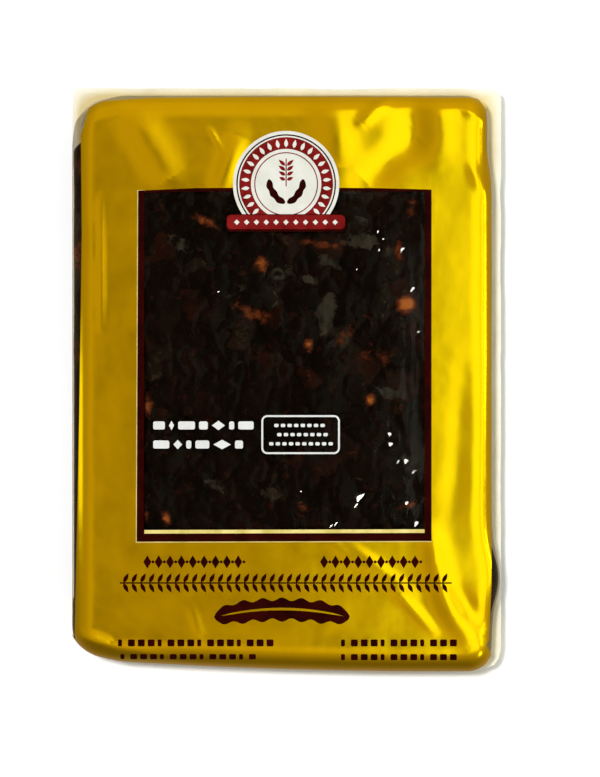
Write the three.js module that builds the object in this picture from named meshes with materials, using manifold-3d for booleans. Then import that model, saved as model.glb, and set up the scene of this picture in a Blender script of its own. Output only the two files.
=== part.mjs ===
// A 400 g block of pressed, seedless tamarind pulp in a clear film pouch. A printed gold layer
// covers the pouch's front, leaves a window over the pulp, and folds under the foot of the pack.
// Millimetres, +Z up. The pack lies on its back with its head end towards +Y, and the origin is
// the middle of its footprint, on the surface that it lies on.
import * as THREE from "three";
import { mergeVertices } from "three/addons/utils/BufferGeometryUtils.js";
import Module from "manifold-3d";

const wasm = await Module();
wasm.setup();

// Overall size, over the seals
const PACK_WIDTH = 117.5;
const PACK_LENGTH = 160;

// Sheets. The real film is about 0.1 mm thick, and its layers touch.
const FILM = 0.4;
const PRINT = 0.35;
const GAP = 0.3;

// The filled pouch, measured on the outside of the clear film
const BODY_DEPTH = 22;
const BODY_LEFT = -PACK_WIDTH / 2;
const BODY_RIGHT = 56.4;
const BODY_HEAD = 78;
const BODY_FOOT = -PACK_LENGTH / 2 + GAP + PRINT;
const EDGE_ROUND = 7;
const EDGE_FULLNESS = 3; // 2 rounds the edges as an ellipse, and more makes their shoulders fuller
const MIDDLE_X = (BODY_LEFT + BODY_RIGHT) / 2;
const MIDDLE_Y = (BODY_HEAD + BODY_FOOT) / 2;
const HALF = new THREE.Vector3(
  (BODY_RIGHT - BODY_LEFT) / 2,
  (BODY_HEAD - BODY_FOOT) / 2,
  BODY_DEPTH / 2,
);

// How the hand-packed block departs from a true brick
const CROWN = 0.8; // rise of the front in the middle
const FOOT_SLANT = 3.4; // the foot edge runs up towards the left by this
const FOOT_LOWEST_X = 42;
const FOOT_SLANT_REACH = 97;
const HEAD_RIGHT_TUCK = 1.1; // the right side is narrower at the head
const HEAD_TUCK_FROM = 50;
const HEAD_TUCK_TO = 62;
const HEAD_LEFT_CUT = 2.5; // the block's head left corner is pressed in
const FOOT_LEFT_CUT = 1.8; // and so is its foot left corner
const CORNER_CUT_REACH = 15;
const SIDE_BULGE = 2; // pulp pushes the right side out near the foot
const SIDE_BULGE_Y = -54;
const SIDE_BULGE_REACH = 8.5;
const FOOT_RISE = 1.4; // the back lifts here, over the folded end of the print
const FOOT_RISE_FROM = -52;
const FOOT_RISE_TO = -62;

// Folds raised in the film of the front: ends of the fold, height, and half width
const FOLDS = [
  { from: [-46, 75], to: [-33, 56], height: 0.6, width: 4 },
  { from: [-21, 75], to: [-17, 54], height: 0.6, width: 4 },
  { from: [9.5, 77], to: [12.5, 64], height: 0.5, width: 4 },
  { from: [31, 78], to: [19, 66], height: 0.6, width: 3 },
  { from: [41, 77], to: [38, 60], height: 0.7, width: 4 },
  { from: [48, 75], to: [55, 69], height: 0.35, width: 2.5 },
  { from: [51, 60], to: [53, 42], height: 0.35, width: 2.5 },
  { from: [-51, 52], to: [-50, 12], height: 0.25, width: 2.5 },
  { from: [-56, -8], to: [-56, -45], height: 0.3, width: 2.5 },
  { from: [17, -46], to: [38, -70], height: 0.5, width: 2.5 },
  { from: [40, -50], to: [52, -72], height: 0.7, width: 3 },
  { from: [-55, -70], to: [-42, -73], height: 0.5, width: 2.5 },
];

// Pressed chunks of pulp, as domes with creases between them
const CHUNKS = 190;
const CHUNK_REACH = 9;
const CHUNK_RELIEF = 1.9;
const CHUNK_SEED = 17;

// The seal strip along the head and the right side, where the two films are welded
const SEAL_BOTTOM = 8.9;
const SEAL = 0.6;
const PARTING = 9.9; // height where the front film meets the back film
const SEAL_CORNER = 2.5;
const SEAL_FOOT_CORNER = 4.5;
const SEAL_FOOT = -79;
const SEAL_RIGHT = PACK_WIDTH / 2;
const SEAL_HEAD = PACK_LENGTH / 2;

// The window in the print, and how far the printed foot folds under the pack
const WINDOW = { left: -39, right: 37.7, foot: -40.8, head: 51.5 };
const FOLDED_FOOT_TO = -63;
const ABOVE = 60; // past the front of the pack
const BELOW = -10; // past the back of the pack

const COLOURS = { pulp: 0x2a120a, film: 0xe9e6dc, print: 0xd3a90c };

// Cells of the meshes, along X, along Y and round each edge
const FILM_CELLS = { x: 16, y: 22, edge: 3 };
const PULP_CELLS = { x: 24, y: 32, edge: 3 };

// Small tools

const smooth = (from, to, value) => {
  const t = THREE.MathUtils.clamp((value - from) / (to - from), 0, 1);
  return t * t * (3 - 2 * t);
};

const bell = (distance, reach) => Math.exp(-((distance / reach) ** 2));

function seededRandom(seed) {
  let state = seed;
  return () => {
    state = (state * 1664525 + 1013904223) % 4294967296;
    return state / 4294967296;
  };
}

function solidOf(geometry) {
  geometry.deleteAttribute("normal");
  geometry.deleteAttribute("uv");
  const merged = mergeVertices(geometry, 1e-4);
  return new wasm.Manifold(
    new wasm.Mesh({
      numProp: 3,
      vertProperties: new Float32Array(merged.attributes.position.array),
      triVerts: new Uint32Array(merged.index.array),
    }),
  );
}

// A plan outline, as tall as the given heights
function prism(shape, bottom, top) {
  const options = { depth: top - bottom, bevelEnabled: false, curveSegments: 8 };
  return solidOf(new THREE.ExtrudeGeometry(shape, options).translate(0, 0, bottom));
}

function outlineOf(points) {
  return new THREE.Shape(points.map(([x, y]) => new THREE.Vector2(x, y)));
}

// The filled pouch's shape

function foldHeight(x, y) {
  let height = 0;
  for (const { from, to, height: peak, width } of FOLDS) {
    const run = new THREE.Vector2(to[0] - from[0], to[1] - from[1]);
    const point = new THREE.Vector2(x - from[0], y - from[1]);
    const along = THREE.MathUtils.clamp(point.dot(run) / run.lengthSq(), 0, 1);
    const away = point.addScaledVector(run, -along).length();
    height += peak * bell(away, width) * Math.sqrt(Math.sin(Math.PI * (0.1 + 0.8 * along)));
  }
  return height;
}

function fullness(facing) {
  const aside = Math.hypot(facing.x, facing.y) ** EDGE_FULLNESS;
  return (aside + Math.abs(facing.z) ** EDGE_FULLNESS) ** (-1 / EDGE_FULLNESS);
}

function crownHeight(x, y) {
  return CROWN * Math.max(0, 1 - (x / HALF.x) ** 2) * Math.max(0, 1 - (y / HALF.y) ** 2);
}

// Moves a point of the true brick in plan, to where the hand-packed block has it
function settle(point) {
  const { x, y } = point;
  const footward = smooth(0, -HALF.y, y);
  const leftward = Math.max(0, FOOT_LOWEST_X - x) / FOOT_SLANT_REACH;
  const rightward = smooth(0, HALF.x, x);
  const cornerX = smooth(CORNER_CUT_REACH, 0, x - BODY_LEFT);
  const headCornerY = smooth(CORNER_CUT_REACH, 0, BODY_HEAD - y);
  const footCornerY = smooth(CORNER_CUT_REACH, 0, y - BODY_FOOT);
  point.x -= rightward * HEAD_RIGHT_TUCK * smooth(HEAD_TUCK_FROM, HEAD_TUCK_TO, y);
  point.x += rightward * SIDE_BULGE * bell(y - SIDE_BULGE_Y, SIDE_BULGE_REACH);
  point.x += HEAD_LEFT_CUT * cornerX * headCornerY * 0.5;
  point.y -= HEAD_LEFT_CUT * cornerX * headCornerY;
  point.y += FOOT_LEFT_CUT * cornerX * footCornerY;
  point.y += footward * FOOT_SLANT * leftward ** 2;
  return point;
}

// Stations along one axis of a rounded brick: even in the flat, even in angle round the edges
function stations(core, round, flatCells, edgeCells) {
  const angles = Array.from({ length: edgeCells }, (_, i) => (Math.PI / 4) * (1 - i / edgeCells));
  const rim = angles.map((angle) => core + round * Math.tan(angle));
  const flat = Array.from({ length: flatCells + 1 }, (_, i) => -core + (2 * core * i) / flatCells);
  return [...rim.map((v) => -v), ...flat, ...rim.reverse()];
}

// The pouch's outer surface moved in by inset, with its front raised by relief(x, y), and each
// point pushed in by dent(point)
function pillow(inset, cells, relief, dent = () => 0) {
  const core = new THREE.Vector3(HALF.x - EDGE_ROUND, HALF.y - EDGE_ROUND, 0);
  const round = new THREE.Vector3(EDGE_ROUND, EDGE_ROUND, HALF.z).subScalar(inset);
  const xs = stations(core.x, round.x, cells.x, cells.edge);
  const ys = stations(core.y, round.y, cells.y, cells.edge);
  const zs = stations(0, round.z, 1, cells.edge).filter((v, i, all) => v !== all[i - 1]);
  const counts = [xs.length - 1, ys.length - 1, zs.length - 1];
  const geometry = new THREE.BoxGeometry(2, 2, 2, ...counts);
  const position = geometry.attributes.position;
  const point = new THREE.Vector3();
  const nearest = new THREE.Vector3();
  for (let i = 0; i < position.count; i++) {
    point.fromBufferAttribute(position, i);
    const [a, b, c] = counts.map((n, axis) => Math.round(((point.getComponent(axis) + 1) / 2) * n));
    point.set(xs[a], ys[b], zs[c]);
    nearest.copy(point).clamp(core.clone().negate(), core);
    const facing = point.sub(nearest).divide(round).normalize().clone();
    point.multiply(round).multiplyScalar(fullness(facing)).add(nearest);
    point.addScaledVector(facing, -dent(point));
    point.x += MIDDLE_X;
    point.y += MIDDLE_Y;
    settle(point);
    const front = Math.max(0, facing.z);
    const back = Math.max(0, -facing.z);
    point.z += HALF.z + front * relief(point.x, point.y);
    point.z += back * FOOT_RISE * smooth(FOOT_RISE_FROM, FOOT_RISE_TO, point.y);
    position.setXYZ(i, point.x, point.y, point.z);
  }
  return solidOf(geometry);
}

const filmRelief = (x, y) => crownHeight(x, y) + foldHeight(x, y);
const filmLayer = (inset) => pillow(inset, FILM_CELLS, filmRelief);

// Pieces

function pulpBlock() {
  const random = seededRandom(CHUNK_SEED);
  const spread = () => 2 * random() - 1;
  const centres = Array.from({ length: CHUNKS }, () =>
    new THREE.Vector3(spread(), spread(), spread()).multiply(HALF),
  );
  const dent = (point) => {
    const nearest = Math.min(...centres.map((centre) => centre.distanceTo(point)));
    return CHUNK_RELIEF * Math.min(1, nearest / CHUNK_REACH) ** 2;
  };
  return pillow(FILM + GAP, PULP_CELLS, crownHeight, dent);
}

// Where the front is printed, seen from above, without the window
function printOutline() {
  return outlineOf([
    [-56.1, 62],
    [-56.2, 66.6],
    [-54, 74.4],
    [-50.4, 76.1],
    [-37, 77],
    [0, 77.4],
    [30, 77.3],
    [50.8, 77.1],
    [54.5, 76.3],
    [54.6, 63],
    [55.9, 54],
    [55.9, -56],
    [55.2, -71],
    [54.2, -73],
    [55, -85],
    [-57.9, -85],
    [-57.9, -71],
    [-56.6, -10],
    [-55.9, 40],
  ]);
}

function printRegion() {
  const { left, right, foot, head } = WINDOW;
  const front = printOutline();
  front.holes.push(
    new THREE.Path(
      [
        [left, foot],
        [right, foot],
        [right, head],
        [left, head],
      ].map(([x, y]) => new THREE.Vector2(x, y)),
    ),
  );
  const folded = outlineOf([
    [-57.9, FOLDED_FOOT_TO],
    [55, FOLDED_FOOT_TO],
    [55, -85],
    [-57.9, -85],
  ]);
  return prism(front, PARTING, ABOVE).add(prism(folded, BELOW, PARTING + 1));
}

function printedLayer(region) {
  return filmLayer(-GAP - PRINT).subtract(filmLayer(-GAP)).intersect(region);
}

// A flat strip past the head and the right side, from the head left corner to the foot right one
function sealStrip(inside, keptFree) {
  const shape = new THREE.Shape();
  shape.moveTo(BODY_LEFT, 58);
  shape.lineTo(BODY_LEFT, SEAL_HEAD - SEAL_CORNER);
  shape.quadraticCurveTo(BODY_LEFT, SEAL_HEAD, BODY_LEFT + SEAL_CORNER, SEAL_HEAD);
  shape.lineTo(SEAL_RIGHT - SEAL_CORNER, SEAL_HEAD);
  shape.quadraticCurveTo(SEAL_RIGHT, SEAL_HEAD, SEAL_RIGHT, SEAL_HEAD - SEAL_CORNER);
  shape.lineTo(SEAL_RIGHT, SEAL_FOOT + SEAL_FOOT_CORNER);
  shape.quadraticCurveTo(SEAL_RIGHT, SEAL_FOOT, SEAL_RIGHT - SEAL_FOOT_CORNER, SEAL_FOOT);
  shape.lineTo(44, -66);
  shape.lineTo(44, 58);
  return prism(shape, SEAL_BOTTOM, SEAL_BOTTOM + SEAL).subtract(inside).subtract(keptFree);
}

function slab(bottom, top) {
  const box = new THREE.BoxGeometry(2 * PACK_WIDTH, 2 * PACK_LENGTH, top - bottom);
  return solidOf(box.translate(0, 0, (top + bottom) / 2));
}

function meshOf(name, solid, colour, look) {
  const { numProp, vertProperties, triVerts } = solid.getMesh();
  const places = new THREE.InterleavedBuffer(vertProperties, numProp);
  const geometry = new THREE.BufferGeometry()
    .setAttribute("position", new THREE.InterleavedBufferAttribute(places, 3, 0))
    .setIndex(new THREE.BufferAttribute(triVerts, 1))
    .toNonIndexed();
  geometry.computeVertexNormals();
  const material = new THREE.MeshStandardMaterial({ color: colour, ...look });
  const mesh = new THREE.Mesh(geometry, material);
  mesh.name = name;
  return mesh;
}

const inside = filmLayer(FILM);
const skin = filmLayer(0).subtract(inside);
const region = printRegion();
const keptFree = filmLayer(-GAP - PRINT - GAP).intersect(region);
const frontFilm = skin.intersect(slab(PARTING + GAP / 2, ABOVE));
const backFilm = skin.intersect(slab(BELOW, PARTING - GAP / 2)).add(sealStrip(inside, keptFree));

const clear = { roughness: 0.12, metalness: 0, transparent: true, opacity: 0.3 };
const pack = new THREE.Group();
pack.add(
  meshOf("tamarind_block", pulpBlock(), COLOURS.pulp, { roughness: 0.45, metalness: 0 }),
  meshOf("front_film", frontFilm, COLOURS.film, clear),
  meshOf("back_film", backFilm, COLOURS.film, clear),
  meshOf("gold_print", printedLayer(region), COLOURS.print, { roughness: 0.35, metalness: 0.9 }),
);

export default pack;
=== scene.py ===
"""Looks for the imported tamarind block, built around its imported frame.

Metres in the scene. The shape functions work in millimetres, as the part's source does.
"""

import bpy
import numpy as np
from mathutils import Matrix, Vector, geometry, kdtree, noise


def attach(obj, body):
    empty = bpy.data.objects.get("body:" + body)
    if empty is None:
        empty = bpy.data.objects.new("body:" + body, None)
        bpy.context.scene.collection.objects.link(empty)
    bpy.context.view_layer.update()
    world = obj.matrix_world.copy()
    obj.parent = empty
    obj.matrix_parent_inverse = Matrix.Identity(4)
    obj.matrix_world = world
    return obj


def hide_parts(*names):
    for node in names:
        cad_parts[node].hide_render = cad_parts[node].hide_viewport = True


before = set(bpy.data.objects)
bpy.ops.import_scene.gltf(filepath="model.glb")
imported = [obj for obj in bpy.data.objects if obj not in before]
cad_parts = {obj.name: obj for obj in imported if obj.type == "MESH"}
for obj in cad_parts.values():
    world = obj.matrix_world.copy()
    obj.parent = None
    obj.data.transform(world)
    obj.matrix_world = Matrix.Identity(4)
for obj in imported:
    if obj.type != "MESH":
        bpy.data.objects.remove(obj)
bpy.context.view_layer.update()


# Pulp block
# Seedless tamarind pulp, a dark, moist and sticky paste of soft chunks, skins and fibres. It is
# pressed by hand into a flat brick, and the film that it is packed in flattens its faces.

# The filled pouch, measured on the outside of the clear film, in millimetres
BODY_LEFT, BODY_RIGHT = -58.75, 56.4
BODY_FOOT, BODY_HEAD = -79.35, 78.0
BODY_DEPTH = 22.0
EDGE_ROUND = 7.0
EDGE_FULLNESS = 3.0  # 2 rounds the edges as an ellipse, and more makes their shoulders fuller
HALF = np.array([BODY_RIGHT - BODY_LEFT, BODY_HEAD - BODY_FOOT, BODY_DEPTH]) / 2
MIDDLE = np.array([BODY_LEFT + BODY_RIGHT, BODY_FOOT + BODY_HEAD]) / 2
CORE = HALF[:2] - EDGE_ROUND

# How the hand-packed block departs from a true brick, as in the part's source
CROWN_RISE = 0.8
FOOT_SLANT, FOOT_LOWEST_X, FOOT_SLANT_REACH = 3.4, 42, 97
HEAD_RIGHT_TUCK, HEAD_TUCK_FROM, HEAD_TUCK_TO = 1.1, 50, 62
HEAD_LEFT_CUT, FOOT_LEFT_CUT, CORNER_CUT_REACH = 2.5, 1.8, 15
SIDE_BULGE, SIDE_BULGE_Y, SIDE_BULGE_REACH = 2.0, -54, 8.5
FOOT_RISE, FOOT_RISE_FROM, FOOT_RISE_TO = 1.4, -52, -62

# Pressed chunks, as domes with creases between them, and how far in from the film they lie
CHUNKS = 190
CHUNK_REACH = 9.0
CHUNK_RELIEF = 1.9
CHUNK_SEED = 17
PULP_INSET = 0.75
SIDE_INSET = 0.3
PULP_CELLS = (150, 204, 8)


def smooth(low, high, value):
    t = np.clip((value - low) / (high - low), 0, 1)
    return t * t * (3 - 2 * t)


def bell(distance, reach):
    return np.exp(-((distance / reach) ** 2))


def settle(x, y):
    """Moves points of a true brick in plan, to where the hand-packed one has them."""
    rightward = smooth(0, HALF[0], x)
    tuck = HEAD_RIGHT_TUCK * smooth(HEAD_TUCK_FROM, HEAD_TUCK_TO, y)
    bulge = SIDE_BULGE * bell(y - SIDE_BULGE_Y, SIDE_BULGE_REACH)
    leftward = np.maximum(0, FOOT_LOWEST_X - x) / FOOT_SLANT_REACH
    slanted = smooth(0, -HALF[1], y) * FOOT_SLANT * leftward**2
    at_left = smooth(CORNER_CUT_REACH, 0, x - BODY_LEFT)
    head_cut = HEAD_LEFT_CUT * at_left * smooth(CORNER_CUT_REACH, 0, BODY_HEAD - y)
    foot_cut = FOOT_LEFT_CUT * at_left * smooth(CORNER_CUT_REACH, 0, y - BODY_FOOT)
    return x + rightward * (bulge - tuck) + head_cut / 2, y + slanted - head_cut + foot_cut


def crown(x, y):
    """Rise of the front towards its middle."""
    across, along = x / HALF[0], y / HALF[1]
    return CROWN_RISE * np.maximum(0, 1 - across**2) * np.maximum(0, 1 - along**2)


def fullness(facing):
    """How much fuller than an ellipse the edges' shoulders are, by the way that points face."""
    aside = np.hypot(facing[:, 0], facing[:, 1]) ** EDGE_FULLNESS
    return (aside + np.abs(facing[:, 2]) ** EDGE_FULLNESS) ** (-1 / EDGE_FULLNESS)


def place(near, facing, out, relief):
    """Points of the pouch, from the nearest point of its flat core and the way they face."""
    rounds = np.array([EDGE_ROUND, EDGE_ROUND, HALF[2]])
    out = np.broadcast_to(out, len(near))
    point = near + facing * (rounds + out[:, None]) * fullness(facing)[:, None]
    x, y = settle(point[:, 0] + MIDDLE[0], point[:, 1] + MIDDLE[1])
    front = np.maximum(0, facing[:, 2])
    back = np.maximum(0, -facing[:, 2])
    z = point[:, 2] + HALF[2] + front * relief(x, y)
    z += back * FOOT_RISE * smooth(FOOT_RISE_FROM, FOOT_RISE_TO, y)
    return np.stack([x, y, z], axis=1)


def tangents(flat, edge):
    """Cells along one axis of the brick: how far along its core, and how far round its edge."""
    rim = np.tan(np.linspace(np.pi / 4, 0, edge + 1))[:-1]
    along = np.concatenate([-np.ones(edge), np.linspace(-1, 1, flat + 1), np.ones(edge)])
    return along, np.concatenate([-rim, np.zeros(flat + 1), rim[::-1]])


def brick(cells):
    """A rounded brick's surface: nearest core points, facings, quads, and heights in cells."""
    across, down, edge = cells
    axes = [tangents(across, edge), tangents(down, edge)]
    rise = np.tan(np.linspace(-np.pi / 4, np.pi / 4, 2 * edge + 1))
    counts = np.array([len(axes[0][0]), len(axes[1][0]), len(rise)])
    step = np.array([counts[1] * counts[2], counts[2], 1])
    quads = []
    for axis in range(3):
        first, second = (axis + 1) % 3, (axis + 2) % 3
        i, j = np.meshgrid(np.arange(counts[first] - 1), np.arange(counts[second] - 1))
        low = (i * step[first] + j * step[second]).ravel()
        aside, far = low + step[first], low + step[first] + step[second]
        ring = np.stack([low, aside, far, low + step[second]], axis=1)
        quads += [ring[:, ::-1], ring + (counts[axis] - 1) * step[axis]]
    used, quads = np.unique(np.concatenate(quads), return_inverse=True)
    quads = quads.reshape(-1, 4)
    a, b, c = used // step[0], used // step[1] % counts[1], used % counts[2]
    near = np.stack([axes[0][0][a] * CORE[0], axes[1][0][b] * CORE[1], np.zeros(len(a))], axis=1)
    facing = np.stack([axes[0][1][a], axes[1][1][b], rise[c]], axis=1)
    facing /= np.linalg.norm(facing, axis=1)[:, None]
    return near, facing, quads, c - edge


def mesh_object(name, points, faces):
    """A smooth mesh, from points in millimetres."""
    mesh = bpy.data.meshes.new(name)
    mesh.from_pydata((points * 0.001).tolist(), [], faces.tolist())
    mesh.polygons.foreach_set("use_smooth", np.ones(len(faces), dtype=bool))
    mesh.update()
    made = bpy.data.objects.new(name, mesh)
    bpy.context.scene.collection.objects.link(made)
    return made


def chunk_centres():
    """The same seeded draws as in the part's source, so the chunks lie where the solid's do."""
    state = CHUNK_SEED
    draws = []
    for _ in range(3 * CHUNKS):
        state = (state * 1664525 + 1013904223) % 2**32
        draws.append(2 * state / 2**32 - 1)
    return np.array(draws).reshape(-1, 3) * HALF


def nearest_distance(points, centres):
    tree = kdtree.KDTree(len(centres))
    for number, centre in enumerate(centres):
        tree.insert(centre, number)
    tree.balance()
    return np.array([tree.find(point)[2] for point in points])


SPOT_FULL, SPOT_END = 0.2, 1.7  # shares of a spot's half size where it is full, and has faded


def blots(points, spots):
    """Share, from 0 to 1, of soft oval spots: place, half sizes in mm, tilt and strength."""
    share = np.zeros(len(points))
    for x, y, long, short, tilt, strength in spots:
        cos, sin = np.cos(np.radians(tilt)), np.sin(np.radians(tilt))
        along, aside = points[:, 0] - x, points[:, 1] - y
        reach = np.hypot((cos * along + sin * aside) / long, (cos * aside - sin * along) / short)
        share = np.maximum(share, strength * smooth(SPOT_END, SPOT_FULL, reach))
    return share


near, facing, quads, _ = brick(PULP_CELLS)
spots = near + facing * np.array([EDGE_ROUND, EDGE_ROUND, HALF[2]])
dent = CHUNK_RELIEF * np.minimum(1, nearest_distance(spots, chunk_centres()) / CHUNK_REACH) ** 2

# Torn skins lie flat in the paste, each at its own slant, a little longer along the pack
SKIN_SIZE = 6.2
SKIN_ALONG = 0.8
SKIN_WANDER, WANDER_RATE = 0.45, 0.28
SKIN_SLANT, SLANT_MOST = 0.16, 0.6
CREASE_DEPTH, CREASE_WIDTH = 0.35, 0.16
SLANT_DRAW, TONE_DRAW = 7.3, 3.1  # each picks its own draws of the same cell noise
WANDER_SEED = 1

noise.seed_set(WANDER_SEED)  # unseeded, noise_vector goes by the clock
slant, seam, skin_tone = np.zeros(len(spots)), np.zeros(len(spots)), np.zeros(len(spots))
for number, spot in enumerate(spots):
    here = Vector((spot[0], spot[1] * SKIN_ALONG, spot[2]))
    here = here / SKIN_SIZE + noise.noise_vector(here * WANDER_RATE) * SKIN_WANDER
    far, cell = noise.voronoi(here)
    lean = noise.cell_vector(cell[0] * SLANT_DRAW) - Vector((0.5, 0.5, 0.5))
    slant[number] = lean.dot(here - cell[0]) * SKIN_SIZE * 2 * SKIN_SLANT
    seam[number] = far[1] - far[0]
    skin_tone[number] = noise.cell(cell[0] * TONE_DRAW)
slant = np.clip(slant, -SLANT_MOST, SLANT_MOST)
crease = CREASE_DEPTH * bell(seam, CREASE_WIDTH)

# The block stops short of the pouch's head and right side, and more so of two of its corners.
# At the bulge near the foot it fills the right side.
SHORT_AT_HEAD = 1.5
SHORT_AT_RIGHT, FULL_Y, FULL_REACH = 1.1, -53, 11
SHORT_AT_HEAD_LEFT, HEAD_LEFT_FROM, HEAD_LEFT_TO = 3.6, 63, 68.5
SHORT_AT_FOOT_RIGHT, FOOT_RIGHT_FROM, FOOT_RIGHT_TO = 3.2, 17, 5
SUNK_AT_HEAD, HEAD_SUNK_FROM, HEAD_SUNK_TO = 0.3, 54, 60
SUNK = 0.3


def edge_share(aside):
    """How far onto an edge a point is, by how much of its facing points aside."""
    return smooth(0.3, 0.9, aside)


foot_right = np.hypot(*(spots[:, :2] - (HALF[0], -HALF[1])).T)
empty_side = 1 - bell(spots[:, 1] - FULL_Y, FULL_REACH)
head_left = smooth(HEAD_LEFT_FROM, HEAD_LEFT_TO, spots[:, 1])
short = SHORT_AT_HEAD * edge_share(facing[:, 1])
short += SHORT_AT_RIGHT * edge_share(facing[:, 0]) * empty_side
short += SHORT_AT_HEAD_LEFT * edge_share(-facing[:, 0]) * head_left
short += SHORT_AT_FOOT_RIGHT * smooth(FOOT_RIGHT_FROM, FOOT_RIGHT_TO, foot_right)
face = smooth(0.15, 0.6, np.abs(facing[:, 2]))
sunk = SUNK + 0.6 * dent + crease - 0.5 * slant
sunk += SUNK_AT_HEAD * smooth(HEAD_SUNK_FROM, HEAD_SUNK_TO, spots[:, 1])
hollow = SIDE_INSET + face * (PULP_INSET - SIDE_INSET + sunk) + 0.1 * (1 - face) * dent + short
pulp_points = place(near, facing, -hollow, crown)

# Soft bits that light shines through, and grey skins, with painted reflection among them: place,
# half sizes, tilt and strength
AMBER_BITS_AND_PAINTED_REFLECTIONS = [
    (32.5, 20.7, 2.4, 2.2, 30, 1.0),
    (30.7, 35.0, 1.3, 3.2, 0, 0.55),
    (-6.8, 31.8, 1.7, 2.3, 10, 0.66),
    (8.5, 37.2, 6.5, 1.1, -8, 0.5),
    (-9.0, 18.2, 5.5, 1.8, -20, 0.42),
    (22.8, -5.4, 1.3, 1.4, 0, 0.9),
    (-37.9, -7.0, 1.2, 3.2, 5, 0.5),
    (6.1, 9.4, 1.2, 1.6, 20, 0.62),
    (-32.9, -37.8, 1.1, 1.9, 20, 0.75),
    (-38.2, -37.2, 1.0, 1.8, 0, 0.6),
    (-22.2, 43.4, 4.2, 1.2, -25, 0.6),
    (34.1, 46.5, 1.8, 2.6, 0, 0.35),
    (33.5, -34.0, 1.8, 1.1, 10, 0.6),
    (24.0, 6.6, 6.4, 2.6, -12, 0.3),
    (15.6, 11.9, 3.4, 2.6, 0, 0.3),
    (5.5, -35.3, 3.4, 0.9, -35, 0.4),
    # These three, on the left side, are painted reflection: yellow-brown gleams of the gold seen
    # in the side film
    (-57.4, 34.0, 1.6, 5.0, 0, 0.55),
    (-57.0, 8.0, 1.6, 4.0, 0, 0.36),
    (-56.6, 60.0, 2.0, 3.4, 0, 0.45),
]
GREY_SKINS_AND_PAINTED_SHEEN = [
    (-2.7, 28.9, 5.0, 3.0, 20, 0.6),
    (6.6, 27.4, 3.0, 1.2, -5, 0.8),
    (11.9, 32.1, 3.4, 1.6, -20, 0.8),
    (20.6, 37.8, 4.5, 2.4, 0, 0.9),
    (19.5, 43.4, 3.0, 1.6, 10, 0.7),
    (11.0, 18.4, 2.6, 6.0, -8, 1.0),
    (14.6, 11.0, 3.8, 2.8, 10, 0.7),
    (28.0, -3.3, 4.4, 1.6, -15, 0.9),
    (0.0, 3.3, 1.6, 1.3, 0, 0.5),
    (-12.8, 3.8, 1.4, 2.0, 0, 0.45),
    (-5.1, -31.0, 4.4, 1.8, -10, 0.7),
    (-19.1, -29.0, 4.2, 1.2, -25, 0.6),
    (-29.0, 37.0, 4.6, 3.0, -20, 0.5),
    (-30.6, 19.2, 3.4, 1.6, 10, 0.3),
    (-14.0, 24.0, 6.0, 1.0, 25, 0.5),
    (33.0, -22.0, 3.0, 1.6, -40, 0.5),
    (20.0, -27.0, 5.0, 1.6, 5, 0.35),
    # These three, on the left side, are painted sheen: pale olive streaks of the side film's
    # reflection
    (-57.6, 27.0, 1.2, 4.0, 0, 0.9),
    (-57.4, 43.0, 1.4, 3.0, 0, 0.9),
    (-57.6, -22.0, 1.2, 5.0, 0, 0.7),
]
AMBER_RISE = 0.35
OTHER_GREY = 0.35

# The spots are seen from the front, and run a little way down the sides
from_front = facing[:, 2] > -0.3
# Both shares also hold the painted reflection and painted sheen on the left side
amber_and_painted_reflection = blots(pulp_points, AMBER_BITS_AND_PAINTED_REFLECTIONS) * from_front
grey = blots(pulp_points, GREY_SKINS_AND_PAINTED_SHEEN) * from_front
other_grey = smooth(0.86, 0.9, skin_tone) * smooth(0.04, 0.2, seam) * OTHER_GREY
grey = np.maximum(grey, other_grey)
pulp_points[:, 2] += AMBER_RISE * amber_and_painted_reflection * (amber_and_painted_reflection > 0.5)

pulp = mesh_object("pulp_block", pulp_points, quads)
for name, values in (("amber_and_painted_reflection", amber_and_painted_reflection), ("grey", grey), ("skin", skin_tone), ("seam", seam)):
    pulp.data.attributes.new(name, "FLOAT", "POINT").data.foreach_set("value", values)


def material(name):
    """A new material, its node tree and its Principled BSDF."""
    made = bpy.data.materials.new(name)
    made.use_nodes = True
    nodes = made.node_tree.nodes
    return made, made.node_tree, nodes["Principled BSDF"]


def node(tree, kind, **settings):
    """A new node, with its properties set by name and its sockets by number."""
    made = tree.nodes.new(kind)
    for key, value in settings.items():
        if key.startswith("in_"):
            made.inputs[int(key[3:])].default_value = value
        else:
            setattr(made, key, value)
    return made


def ramp(tree, source, stops):
    """A colour ramp fed by source. stops are positions with colours or grey values."""
    made = node(tree, "ShaderNodeValToRGB")
    elements = made.color_ramp.elements
    for position, _ in stops[2:]:
        elements.new(position)
    for element, (position, colour) in zip(elements, stops):
        element.position = position
        grey = not isinstance(colour, tuple)
        element.color = (colour, colour, colour, 1) if grey else (*colour, 1)
    tree.links.new(source, made.inputs[0])
    return made.outputs[0]


def mix(tree, share, first, second, blend="MIX"):
    """Two colours mixed. Each input is a socket, a number or a colour."""
    made = node(tree, "ShaderNodeMix", data_type="RGBA", blend_type=blend)
    for number, value in ((0, share), (6, first), (7, second)):
        if isinstance(value, bpy.types.NodeSocket):
            tree.links.new(value, made.inputs[number])
        else:
            made.inputs[number].default_value = (*value, 1) if isinstance(value, tuple) else value
    return made.outputs[2]


def object_place(tree, scale=(1, 1, 1)):
    """Places on the piece in metres, stretched where the scale is under 1."""
    place_node = node(tree, "ShaderNodeTexCoord")
    scaled = node(tree, "ShaderNodeMapping", in_3=scale)
    tree.links.new(place_node.outputs["Object"], scaled.inputs[0])
    return scaled.outputs[0]


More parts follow.
